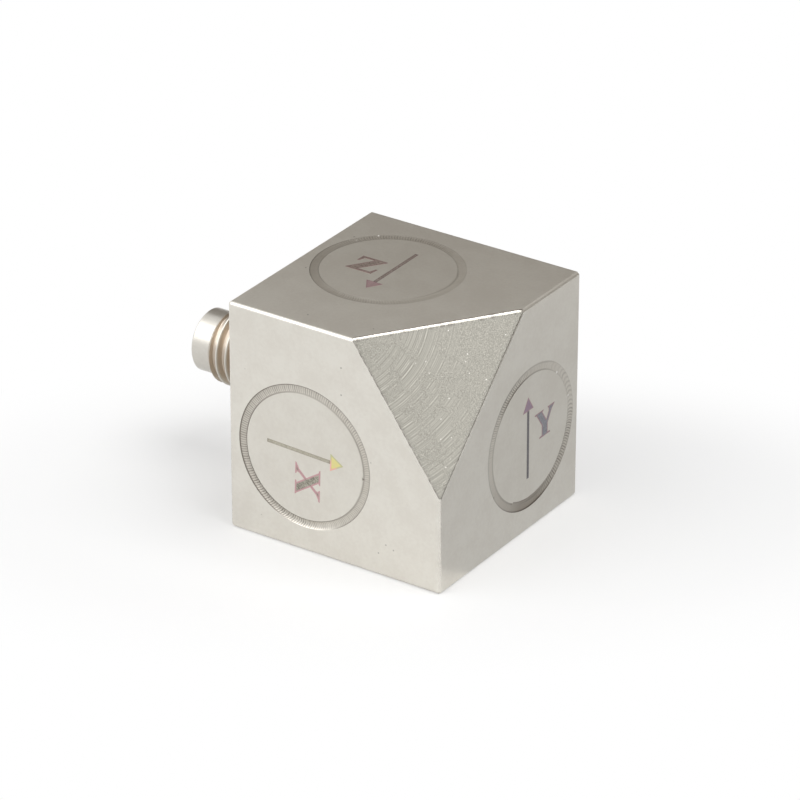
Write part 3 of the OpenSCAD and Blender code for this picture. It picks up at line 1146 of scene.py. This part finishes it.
class Letter(Enum):
    """The strokes of the three bold serif letters."""

    X = (
        Bar(1.0, 0.08, 0.40, 0.0, 0.65, 0.97),
        Bar(0.98, 0.775, 0.885, 0.02, 0.095, 0.205),
        Bar(0.95, 0.70, 0.94, 0.84, 0.676, 0.786),
        Bar(0.16, 0.194, 0.304, 0.05, 0.04, 0.28),
        Bar(1.0, 0.03, 0.50, 0.94, 0.06, 0.46),
        Bar(1.0, 0.63, 1.0, 0.94, 0.66, 0.97),
        Bar(0.06, 0.03, 0.33, 0.0, 0.0, 0.36),
        Bar(0.06, 0.57, 0.95, 0.0, 0.54, 0.98),
    )
    Y = (
        Bar(1.0, 0.06, 0.36, 0.44, 0.37, 0.66),
        Bar(0.98, 0.78, 0.93, 0.40, 0.52, 0.66),
        Bar(0.95, 0.70, 0.97, 0.82, 0.71, 0.86),
        Bar(0.46, 0.37, 0.66, 0.0, 0.37, 0.66),
        Bar(1.0, 0.0, 0.46, 0.94, 0.03, 0.42),
        Bar(1.0, 0.65, 1.0, 0.94, 0.69, 0.97),
        Bar(0.06, 0.27, 0.76, 0.0, 0.24, 0.79),
    )
    Z = (
        Bar(1.0, 0.04, 1.0, 0.88, 0.03, 0.95),
        Bar(0.90, 0.03, 0.15, 0.64, 0.0, 0.07),
        Bar(0.96, 0.64, 0.99, 0.04, 0.02, 0.40),
        Bar(0.12, 0.06, 0.94, 0.0, 0.0, 0.94),
        Bar(0.36, 0.88, 0.95, 0.10, 0.80, 0.94),
    )


def inside_each(points: Array, shapes: Array) -> Array:
    """Distances of points from the outlines of convex shapes, less than zero outside.

    Args:
        points: Points of shape (n, 2).
        shapes: Corners of each shape, clockwise, of shape (shapes, corners, 2).

    Returns:
        Distances of shape (n, shapes): the least one to any side's line.
    """
    side = np.roll(shapes, -1, axis=1) - shapes
    inward = np.stack([side[..., 1], -side[..., 0]], axis=-1)
    inward = inward / np.linalg.norm(inward, axis=-1, keepdims=True)
    across = points[:, None, None, :] - shapes[None]
    return (across * inward[None]).sum(axis=-1).min(axis=2)


def outline_distance(points: Array, shapes: Array, per_side: int = 80, touching: float = 1e-6) -> Array:
    """Distance of points from the outline of several shapes taken together.

    The outline is kept as points along all sides, without those that lie inside another shape.

    Args:
        points: Points of shape (n, 2).
        shapes: Corners of each shape, clockwise, of shape (shapes, corners, 2).
        per_side: Outline points on one side of a shape.
        touching: How deep a point may lie in another shape and still count as on the outline.

    Returns:
        One distance for each point.
    """
    part = np.linspace(0, 1, per_side)[:, None, None, None]
    sides = (1 - part) * shapes + part * np.roll(shapes, -1, axis=1)
    owner = np.broadcast_to(np.arange(len(shapes))[:, None], sides.shape[:3]).ravel()
    rim = sides.reshape(-1, 2)
    inside = inside_each(rim, shapes)
    inside[np.arange(len(rim)), owner] = -1
    rim = rim[inside.max(axis=1) < touching]
    return np.sqrt(((points[:, None] - rim[None]) ** 2).sum(axis=-1).min(axis=1))


@dataclass(frozen=True)
class MarkInks:
    """The finishes of one mark's letter, shaft and arrow head."""

    letter: OxideMark
    shaft: OxideMark
    head: OxideMark


@dataclass(frozen=True)
class MarkPlace:
    """Where a letter and its arrow lie on a cap, in millimetres from its centre as the arrow points up.

    The letter has a left and right and a low and high end, and the arrow a tail and a tip. The arrow
    stands at arrow_at_mm, and the whole mark is turned to the left by turn_deg.
    """

    across_mm: Pair
    height_mm: Pair
    arrow_mm: Pair
    arrow_at_mm: float
    turn_deg: float


@dataclass
class AxisMark:
    """A letter and an arrow on a cap, burnt by a laser.

    The side attribute, by which a rim changes colour, grows to the right and falls upwards by side_lean.
    """

    letter: Letter
    seat: Seat
    inks: MarkInks
    place: MarkPlace
    head_mm: float = 1.21
    shaft_w_mm: float = 0.31
    head_w_mm: float = 1.55
    tip_w_mm: float = 0.04
    proud_mm: float = 0.006
    step_mm: float = 0.0004
    sunk_mm: float = 0.02
    side_lean: float = 0.8
    side_shift: float = 0.15
    along: int = 25
    across: int = 13

    def build(self) -> None:
        """Makes the letter, the arrow's shaft and its head, each a thin film on the cap."""
        low, high = np.array([self.place.across_mm, self.place.height_mm]).T
        bars = np.stack([low + bar.corners() * (high - low) for bar in self.letter.value])
        tail, tip = self.place.arrow_mm
        neck = tip - self.head_mm
        shaft = self.stroke((neck, tail), (self.shaft_w_mm, self.shaft_w_mm))
        head = self.stroke((tip, neck), (self.tip_w_mm, self.head_w_mm))
        name = self.letter.name.lower()
        self.film(f"{name}_letter", bars, self.inks.letter)
        self.film(f"{name}_arrow_shaft", shaft, self.inks.shaft)
        self.film(f"{name}_arrow_head", head, self.inks.head)

    def stroke(self, ends_mm: Pair, widths_mm: Pair) -> Array:
        """Works out one upright stroke of the arrow.

        Args:
            ends_mm: Heights of its top and bottom.
            widths_mm: Its widths there.

        Returns:
            Its corners, of shape (1, 4, 2).
        """
        at = self.place.arrow_at_mm
        top, bottom = ends_mm
        upper, lower = (width / 2 for width in widths_mm)
        return Bar(top, at - upper, at + upper, bottom, at - lower, at + lower).corners()[None]

    def film(self, name: str, shapes: Array, ink: OxideMark) -> None:
        """Makes a film of several strokes.

        Each stroke is a flat slab: its two sides are straight lines from end to end, and the points between
        them are weighted means. A stroke lies a hair above the one before it, where they cross.

        Args:
            name: The piece's name.
            shapes: Corners of the strokes, of shape (strokes, 4, 2).
            ink: The film's finish.
        """
        s = np.linspace(0, 1, self.along)[:, None, None]
        t = np.linspace(0, 1, self.across)[None, :, None]
        points, faces = [], []
        for order, (top_left, top_right, low_right, low_left) in enumerate(shapes):
            flat = (1 - s) * ((1 - t) * top_left + t * top_right) + s * ((1 - t) * low_left + t * low_right)
            upper = np.full(flat.shape[:2] + (1,), self.proud_mm + order * self.step_mm)
            under = flat[:, [-1, 0]]
            lower = np.full(under.shape[:2] + (1,), -self.sunk_mm)
            ring = np.hstack([np.dstack([flat, upper]), np.dstack([under, lower])])
            skin, sides = loft(ring, False)
            start = sum(len(p) for p in points)
            points.append(skin)
            faces += [[start + corner for corner in face] for face in sides]
        right, up, out = np.concatenate(points).T
        rim = outline_distance(np.stack([right, up], axis=-1), shapes)
        lean = self.side_lean * (up - up.min()) / np.ptp(up)
        side = (right - right.mean()) / np.ptp(right) - lean + self.side_shift
        turn = math.radians(self.place.turn_deg)
        turned_up = up * math.cos(turn) + right * math.sin(turn)
        turned_right = right * math.cos(turn) - up * math.sin(turn)
        local = np.stack([turned_up, -turned_right, out], axis=-1)
        Piece(name, ink).build(self.seat.place(local), faces, {"rim": rim, "side": side})


# Studio


@dataclass(frozen=True)
class PhotoCamera:
    """The camera at the photograph's viewing angle."""

    azimuth_deg: float = 33.744
    elevation_deg: float = 27.488
    roll_deg: float = 0.152
    distance_mm: float = 398.66
    lens_mm: float = 225.96
    shift_x: float = -0.00617
    shift_y: float = -0.00099
    nearest_mm: float = 10.0
    farthest_mm: float = 100000.0

    def build(self) -> None:
        """Makes the camera, turned about its line of sight by its roll."""
        azimuth = math.radians(self.azimuth_deg)
        elevation = math.radians(self.elevation_deg)
        level = math.cos(elevation)
        back = Vector((math.sin(azimuth) * level, -math.cos(azimuth) * level, math.sin(elevation)))
        right = Vector((math.cos(azimuth), math.sin(azimuth), 0))
        frame = Matrix((right, back.cross(right), back)).transposed()
        frame = frame @ Matrix.Rotation(math.radians(self.roll_deg), 3, "Z")
        camera = bpy.data.cameras.new("photo_camera")
        camera.lens = self.lens_mm
        camera.shift_x = self.shift_x
        camera.shift_y = self.shift_y
        camera.clip_start = MM * self.nearest_mm
        camera.clip_end = MM * self.farthest_mm
        place = MM * Vector(CENTRE_MM) + MM * self.distance_mm * back
        holder = add_object("photo_camera", camera)
        holder.matrix_world = Matrix.Translation(place) @ frame.to_4x4()
        bpy.context.scene.camera = holder


@dataclass(frozen=True)
class SoftBox:
    """A square soft light that faces the sensor."""

    name: str
    towards: Point
    distance_mm: float
    size_mm: float
    radiance: float

    def build(self) -> None:
        """Makes the light; its power is pi times its radiance times its area."""
        lamp = bpy.data.lights.new(self.name, "AREA")
        lamp.shape = "SQUARE"
        lamp.size = MM * self.size_mm
        lamp.energy = math.pi * self.radiance * lamp.size**2
        away = Vector(self.towards).normalized()
        holder = add_object(self.name, lamp)
        holder.location = MM * Vector(CENTRE_MM) + MM * self.distance_mm * away
        holder.rotation_mode = "QUATERNION"
        holder.rotation_quaternion = away.to_track_quat("Z", "Y")


@dataclass(frozen=True)
class GreyCard:
    """A grey card that the steel mirrors: a patch of a sphere round the sensor, unseen by the camera."""

    name: str
    azimuth_deg: Pair
    elevation_deg: Pair
    radius_mm: float
    colour: Colour
    lowest_mm: float = 0.05
    steps: int = 24

    def build(self) -> None:
        """Makes the card over azimuth a and elevation e, with an even glow of its colour.

        Its points are radius·(sin a·cos e, -cos a·cos e, sin e), and none lies under lowest_mm.
        """
        a = np.radians(np.linspace(*self.azimuth_deg, self.steps))[:, None]
        e = np.radians(np.linspace(*self.elevation_deg, self.steps))[None, :]
        parts = [np.sin(a) * np.cos(e), -np.cos(a) * np.cos(e), np.sin(e)]
        sphere = np.stack(np.broadcast_arrays(*parts), axis=-1).reshape(-1, 3)
        points = MM * (np.array(CENTRE_MM) + self.radius_mm * sphere)
        points[:, 2] = np.maximum(points[:, 2], MM * self.lowest_mm)
        index = np.arange(self.steps**2).reshape(self.steps, self.steps)
        quads = np.stack([index[:-1, :-1], index[1:, :-1], index[1:, 1:], index[:-1, 1:]], axis=-1)
        mesh = bpy.data.meshes.new(self.name)
        mesh.from_pydata(points, [], quads.reshape(-1, 4).tolist())
        material = bpy.data.materials.new(self.name)
        graph = Graph.of(material)
        glow = graph.add("Emission", {"Color": self.colour})
        graph.add("OutputMaterial", {"Surface": glow.outputs[0]})
        mesh.materials.append(material)
        card = add_object(self.name, mesh)
        for kind in ("camera", "diffuse", "shadow", "transmission", "volume_scatter"):
            setattr(card, f"visible_{kind}", False)


@dataclass(frozen=True)
class Studio:
    """A white sweep with soft light: floor, world, soft boxes and grey cards.

    The floor keeps the sensor's shadow inside an oval plateau, and turns white between the two multiples
    of the oval that the fade gives.
    """

    floor_mm: float = 4000.0
    floor_grey: float = 0.93
    floor_white: float = 0.27
    plateau_mm: Point = (30.0, 16.0, 1000.0)
    plateau_turn_deg: float = 33.8
    fade: Pair = (1.0, 1.7)
    ambient: float = 0.45
    boxes: tuple[SoftBox, ...] = (
        SoftBox("key_softbox", (-0.4575, -0.5856, 0.669), 500.0, 480.0, 1.5),
        SoftBox("side_softbox", (0.405, 0.035, 0.914), 500.0, 300.0, 3.8),
    )
    cards: tuple[GreyCard, ...] = (
        GreyCard("back_card", (100.0, 240.0), (1.0, 55.0), 90.0, (0.28, 0.26, 0.236)),
        # The floor card stands in, in the steel's reflections, for the floor's shade beside the sensor's
        # right face.
        GreyCard("floor_card", (60.0, 185.0), (-80.0, -2.0), 45.0, (0.65, 0.65, 0.65)),
    )

    def build(self) -> None:
        """Makes the floor, the world, the lights and the cards."""
        self.build_floor()
        self.build_world()
        for part in (*self.boxes, *self.cards):
            part.build()
            log.info("studio: %s", part.name)

    @staticmethod
    def seen(graph: Graph) -> Socket:
        """Tells the rays that show the background from those that only light.

        Args:
            graph: The material's or world's graph.

        Returns:
            1 for rays from the camera, by gloss or through glass.
        """
        path = graph.add("LightPath").outputs
        shows = ("Is Glossy Ray", "Is Transmission Ray", "Is Camera Ray")
        return graph.chain("MAXIMUM", *(path[ray] for ray in shows))

    def build_floor(self) -> None:
        """Makes a pale floor that keeps the sensor's shadow in an oval and shows white farther out."""
        reach = MM * self.floor_mm / 2
        mesh = bpy.data.meshes.new("floor")
        corners = [(-reach, -reach, 0), (reach, -reach, 0), (reach, reach, 0), (-reach, reach, 0)]
        mesh.from_pydata(corners, [], [(0, 1, 2, 3)])
        material = bpy.data.materials.new("white_floor")
        graph = Graph.of(material)
        paper = graph.add("BsdfDiffuse", {"Color": (self.floor_grey,) * 3})
        white = graph.add("Emission")
        oval = {
            "Vector": graph.add("TexCoord").outputs["Object"],
            "Rotation": (0, 0, math.radians(self.plateau_turn_deg)),
            "Scale": tuple(MM * r for r in self.plateau_mm),
        }
        inside = graph.add("Mapping", oval, vector_type="TEXTURE").outputs[0]
        far = graph.ramp(graph.vector("LENGTH", inside).outputs["Value"], self.fade)
        share = graph.math("MULTIPLY", self.seen(graph), graph.between(far, self.floor_white, 1.0))
        both = graph.add("MixShader", {0: share, 1: paper.outputs[0], 2: white.outputs[0]})
        graph.add("OutputMaterial", {"Surface": both.outputs[0]})
        mesh.materials.append(material)
        floor = add_object("floor", mesh)

    def build_world(self) -> None:
        """Makes a world that shows white and lights the scene a little less."""
        world = bpy.data.worlds.new("white_studio")
        graph = Graph.of(world)
        strength = graph.between(self.seen(graph), self.ambient, 1.0)
        sky = graph.add("Background", {"Color": (1.0, 1.0, 1.0), "Strength": strength})
        graph.add("OutputWorld", {"Surface": sky.outputs[0]})
        bpy.context.scene.world = world
        bpy.context.scene.view_settings.view_transform = "Standard"


# The sensor


class Axis(Enum):
    """A sensing axis: the way out of its cap's face, and the way its arrow points."""

    X = ((0, -1, 0), (1, 0, 0))
    Y = ((1, 0, 0), (0, 0, 1))
    Z = ((0, 0, 1), (0, -1, 0))

    @property
    def cap(self) -> str:
        """The cap's node name."""
        return f"{self.name.lower()}_cap"

    @property
    def seam(self) -> str:
        """The weld seam's node name."""
        return f"{self.name.lower()}_weld_seam"

    def seat(self) -> Seat:
        """Works out where the cap lies.

        Returns:
            The frame at the middle of the cap's outer face: z out of it and x along the arrow.
        """
        low, high = (np.array(c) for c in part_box(self.cap))
        out, along = (np.array(v, float) for v in self.value)
        return Seat((low + high) / 2 + out * np.abs((high - low) / 2 @ out), along, out)


SEAM_KNOTS: dict[Axis, tuple[BeadKnot, ...]] = {
    Axis.X: (
        BeadKnot(0, 0.05, 0.016, 0.19, 0.33, 0.7, 0.8, slant_mm=0.10, inner_at=-0.55),
        BeadKnot(30, 0.04, 0.022, 0.20, 0.22, 0.7, 0.8, slant_mm=0.13, inner_at=-0.55),
        BeadKnot(60, 0.04, 0.025, 0.20, 0.16, 0.5, 1.0, slant_mm=0.05, inner_at=-0.65),
        BeadKnot(90, 0.04, 0.026, 0.20, 0.18, 0.5, 1.1, inner_at=-0.7),
        BeadKnot(135, 0.06, 0.025, 0.20, 0.28, 0.8, 1.3, inner_at=-0.9),
        BeadKnot(180, 0.08, 0.028, 0.21, 0.42, 1.5, 2.4, slant_mm=0.05),
        BeadKnot(215, 0.10, 0.036, 0.21, 0.40, 1.8, 2.4),
        BeadKnot(240, 0.11, 0.040, 0.21, 0.42, 1.8, 1.2, slant_mm=-0.12),
        BeadKnot(258, 0.14, 0.042, 0.21, 0.10, 1.4, 0.1, slant_mm=-0.22),
        BeadKnot(278, 0.16, 0.026, 0.20, 0.0, 1.0, 0.0, slant_mm=-0.22),
        BeadKnot(292, 0.13, 0.015, 0.19, 0.05, 0.9, 0.3, slant_mm=-0.1),
        BeadKnot(308, 0.06, 0.016, 0.19, 0.28, 0.7, 0.9, inner_at=-0.9),
        BeadKnot(340, 0.05, 0.016, 0.19, 0.32, 0.6, 0.9, slant_mm=0.05, inner_at=-0.7),
    ),
    Axis.Y: (
        BeadKnot(0, 0.04, 0.008, 0.20, 0.25, 0.6, 0.4, slant_mm=0.10, inner_at=-0.9, outer_at=0.75),
        BeadKnot(15, 0.05, 0.026, 0.21, 0.06, 1.0, 0.5, slant_mm=0.15, inner_at=-0.9, outer_at=0.75),
        BeadKnot(38, 0.07, 0.034, 0.21, 0.10, 1.0, 0.8, slant_mm=0.15, inner_at=-0.9, outer_at=0.75),
        BeadKnot(58, 0.06, 0.022, 0.20, 0.12, 0.5, 0.5, slant_mm=0.05, inner_at=-0.95, outer_at=0.75),
        BeadKnot(75, 0.05, 0.015, 0.20, 0.08, 0.4, 0.5, inner_at=-0.8, outer_at=0.75),
        BeadKnot(95, 0.05, 0.004, 0.20, 0.22, 0.4, 0.4, inner_at=-0.8, outer_at=0.8),
        BeadKnot(120, 0.06, 0.002, 0.20, 0.45, 0.4, 0.5, inner_at=-0.85),
        BeadKnot(150, 0.09, 0.002, 0.25, 0.68, 0.6, 0.9, inner_at=-0.85),
        BeadKnot(152, 0.10, 0.002, 0.25, 0.75, 0.9, 1.0, inner_at=-1.25),
        BeadKnot(165, 0.12, 0.002, 0.25, 1.00, 0.5, 1.5, inner_at=-1.45),
        BeadKnot(190, 0.13, 0.008, 0.25, 1.00, 0.5, 1.7, slant_mm=0.2, inner_at=-1.55),
        BeadKnot(203, 0.11, 0.020, 0.24, 0.75, 0.7, 1.0, slant_mm=0.2, inner_at=-1.5),
        BeadKnot(215, 0.10, 0.034, 0.23, 0.42, 0.7, 0.6, slant_mm=0.1, inner_at=-1.35),
        BeadKnot(240, 0.08, 0.034, 0.22, 0.22, 0.7, 0.5, inner_at=-1.3),
        BeadKnot(262, 0.05, 0.026, 0.22, 0.12, 0.5, 0.3, slant_mm=-0.1, inner_at=-1.25),
        BeadKnot(280, 0.02, 0.013, 0.45, 0.06, 0.25, 0.15, slant_mm=-0.1),
        BeadKnot(305, 0.02, 0.012, 0.55, 0.06, 0.25, 0.15),
        BeadKnot(325, 0.01, 0.005, 0.60, 0.14, 0.25, 0.2),
        BeadKnot(340, 0.03, 0.004, 0.30, 0.20, 0.5, 0.4, inner_at=-0.9, outer_at=0.75),
    ),
    Axis.Z: (
        BeadKnot(0, 0.02, 0.012, 0.22, 0.08, 0.3, 0.5, slant_mm=0.15),
        BeadKnot(30, 0.015, 0.007, 0.22, 0.0, 0.2, 0.3, slant_mm=0.15),
        BeadKnot(60, 0.01, 0.002, 0.22, 0.0, 0.3, 0.1),
        BeadKnot(90, 0.01, 0.001, 0.22, 0.0, 0.3, 0.1, inner_at=-0.65),
        BeadKnot(110, 0.01, 0.001, 0.22, 0.0, 0.4, 0.1, inner_at=-0.65),
        BeadKnot(125, 0.01, 0.003, 0.22, 0.0, 0.3, 0.1),
        BeadKnot(145, 0.02, 0.007, 0.22, 0.05, 0.3, 0.3, slant_mm=0.2),
        BeadKnot(180, 0.02, 0.014, 0.22, 0.15, 0.3, 0.4, slant_mm=0.2),
        BeadKnot(205, 0.02, 0.016, 0.22, 0.18, 0.4, 0.3, slant_mm=0.1),
        BeadKnot(230, 0.02, 0.016, 0.22, 0.20, 0.5, 0.4),
        BeadKnot(255, 0.03, 0.007, 0.22, 0.38, 0.4, 0.6),
        BeadKnot(285, 0.03, 0.007, 0.22, 0.46, 0.5, 0.9, slant_mm=-0.2),
        BeadKnot(305, 0.03, 0.005, 0.22, 0.44, 0.5, 0.9),
        BeadKnot(330, 0.02, 0.005, 0.22, 0.22, 0.4, 0.5),
    ),
}
SEAM_DENTS: dict[Axis, tuple[Dent, ...]] = {
    Axis.X: (Dent(-3, -0.7, 0.14, 0.05),),
    Axis.Y: (
        Dent(121, 1.0, 0.15, 0.1),
        Dent(151, -0.95, 0.12, 0.08),
        Dent(284, -0.6, 0.09, -0.04),
        Dent(318.5, -0.75, 0.12, -0.05),
    ),
    Axis.Z: (Dent(221, 0.85, 0.06, -0.04), Dent(239, 0.2, 0.06, -0.04)),
}
CONNECTOR_KNOTS = (
    BeadKnot(0, 0.07, 0.028, 0.22, 0.4, 0.6, 0.6),
    BeadKnot(180, 0.09, 0.032, 0.22, 0.6, 0.6, 0.8),
)

MARK_INKS: dict[Axis, MarkInks] = {
    Axis.X: MarkInks(
        OxideMark(
            "x_letter_oxide", (0.48, 0.46, 0.39), (0.40, 0.38, 0.32), rim=(0.56, 0.345, 0.36), rim_mm=0.18
        ),
        OxideMark(
            "x_shaft_oxide",
            (0.54, 0.51, 0.43),
            (0.49, 0.46, 0.38),
            rim=(0.36, 0.33, 0.27),
            rim_mm=0.07,
            hatch=(0.38, 0.355, 0.29),
        ),
        OxideMark(
            "x_head_oxide",
            (0.77, 0.735, 0.25),
            (0.74, 0.67, 0.30),
            rim=(0.84, 0.46, 0.40),
            left_rim=(0.56, 0.55, 0.34),
            rim_mm=0.16,
            hatch=(0.72, 0.66, 0.34),
        ),
    ),
    Axis.Y: MarkInks(
        OxideMark(
            "y_letter_oxide",
            (0.38, 0.38, 0.41),
            (0.33, 0.33, 0.36),
            rim=(0.44, 0.30, 0.32),
            hatch=(0.25, 0.25, 0.27),
        ),
        OxideMark(
            "y_shaft_oxide",
            (0.255, 0.245, 0.25),
            (0.20, 0.19, 0.195),
            rim=(0.25, 0.23, 0.25),
            rim_mm=0.06,
            hatch=(0.16, 0.15, 0.155),
        ),
        OxideMark(
            "y_head_oxide",
            (0.44, 0.32, 0.41),
            (0.40, 0.31, 0.37),
            rim=(0.45, 0.32, 0.34),
            hatch=(0.33, 0.25, 0.32),
        ),
    ),
    Axis.Z: MarkInks(
        OxideMark(
            "z_letter_oxide",
            (0.58, 0.48, 0.44),
            (0.50, 0.41, 0.37),
            rim=(0.41, 0.29, 0.28),
            hatch=(0.28, 0.23, 0.20),
        ),
        OxideMark(
            "z_shaft_oxide",
            (0.54, 0.46, 0.43),
            (0.48, 0.40, 0.37),
            rim=(0.32, 0.25, 0.24),
            rim_mm=0.08,
            hatch=(0.30, 0.25, 0.22),
        ),
        OxideMark(
            "z_head_oxide",
            (0.64, 0.46, 0.48),
            (0.58, 0.42, 0.43),
            rim=(0.50, 0.34, 0.36),
            hatch=(0.48, 0.35, 0.36),
        ),
    ),
}
MARK_PLACES: dict[Axis, MarkPlace] = {
    Axis.X: MarkPlace((0.6, 3.58), (-0.82, 1.57), (-3.55, 3.68), -0.4, turn_deg=-2.0),
    Axis.Y: MarkPlace((0.52, 3.47), (-0.78, 1.62), (-3.57, 3.68), -0.42, turn_deg=0.6),
    Axis.Z: MarkPlace((0.6, 3.15), (-0.95, 1.45), (-3.5, 3.68), -0.4, turn_deg=0.0),
}


@dataclass
class Sensor:
    """The whole sensor: the dressed CAD nodes and the pieces that are made here."""

    frame: dict[str, Any]

    def dress_nodes(self) -> None:
        """Gives each CAD node the finish of its material slot."""
        for row in self.frame["record"]["subparts"]:
            finish = SLOT_FINISHES[row["material_slot"]]
            mesh = self.frame["nodes"][row["node"]].data
            mesh.materials.clear()
            mesh.materials.append(material_of(finish))
            log.info("%s: CAD node, %s", row["node"], finish.name)

    def build(self) -> None:
        """Makes the new pieces and dresses the CAD nodes."""
        self.dress_nodes()
        for axis in Axis:
            seat = axis.seat()
            WeldSeam(axis.seam, seat, SEAM_KNOTS[axis], SEAM_DENTS[axis]).build()
            AxisMark(Letter[axis.name], seat, MARK_INKS[axis], MARK_PLACES[axis]).build()
        connector = ConnectorShell()
        connector.build()
        WeldSeam("connector_weld_seam", connector.seat, CONNECTOR_KNOTS).build()
        MountingThread().build()


def main() -> None:
    """Loads the frame and builds the sensor, the camera and the studio."""
    logging.basicConfig(level=logging.INFO, format="%(name)s: %(message)s")
    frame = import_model()
    Sensor(frame).build()
    PhotoCamera().build()
    Studio().build()


if __name__ == "__main__":
    main()
